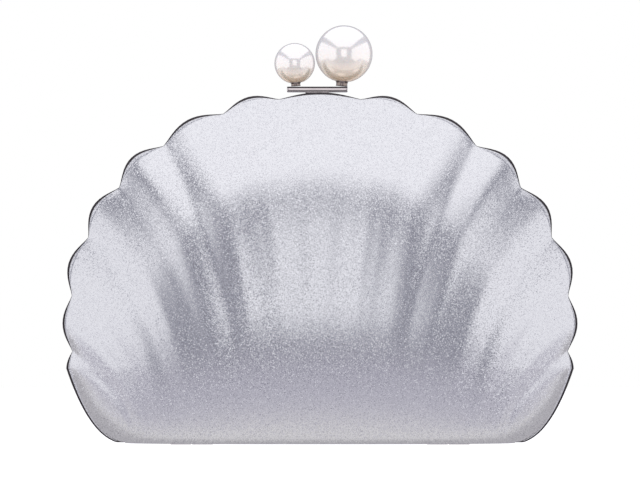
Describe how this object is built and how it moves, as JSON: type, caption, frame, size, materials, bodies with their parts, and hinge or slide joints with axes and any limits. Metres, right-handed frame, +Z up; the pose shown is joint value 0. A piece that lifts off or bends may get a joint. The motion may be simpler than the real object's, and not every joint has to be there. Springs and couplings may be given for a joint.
{
  "type": "evening bag",
  "caption": "Hard scalloped evening clutch in silver cloth, hinged at its flat base, with satin gussets and a kiss-lock clasp of a large and a small pearl.",
  "frame": {"origin": "middle of the base, on the surface the bag stands on, in the plane where the halves meet", "axes": "+X to the right across the width, -Y is the front, +Z up"},
  "size_m": [0.1994, 0.0562, 0.1633],
  "materials": {
    "lurex_cloth": "metallic woven, sparkling",
    "moulded_board": "matte",
    "dark_metal": "polished gunmetal plate",
    "satin_lining": "satin",
    "pearl": "pearl lacquer",
    "polished_metal": "polished"
  },
  "bodies": {
    "rear_half": {"rear_frame": "dark_metal", "rear_cover": "lurex_cloth", "rear_shell": "moulded_board", "rear_lining": "satin_lining", "rear_pocket": "satin_lining", "left_gusset": "satin_lining", "right_gusset": "satin_lining", "rear_clasp_arm": "polished_metal", "large_cup": "polished_metal", "large_pearl": "pearl", "left_rear_leaf": "polished_metal", "left_rear_rivet_1": "polished_metal", "left_rear_rivet_2": "polished_metal", "left_hinge_pin": "polished_metal", "right_rear_leaf": "polished_metal", "right_rear_rivet_1": "polished_metal", "right_rear_rivet_2": "polished_metal", "right_hinge_pin": "polished_metal"},
    "front_half": {"front_frame": "dark_metal", "front_cover": "lurex_cloth", "front_shell": "moulded_board", "front_lining": "satin_lining", "front_clasp_arm": "polished_metal", "small_cup": "polished_metal", "small_pearl": "pearl", "left_front_leaf": "polished_metal", "left_front_rivet_1": "polished_metal", "left_front_rivet_2": "polished_metal", "right_front_leaf": "polished_metal", "right_front_rivet_1": "polished_metal", "right_front_rivet_2": "polished_metal"}
  },
  "joints": [
    {"name": "bag_hinge", "type": "hinge", "parent": "rear_half", "child": "front_half", "pos_m": [0, 0, 0.0011], "axis": [1, 0, 0], "range_deg": [0, 60], "deforming": ["left_gusset", "right_gusset"]}
  ]
}
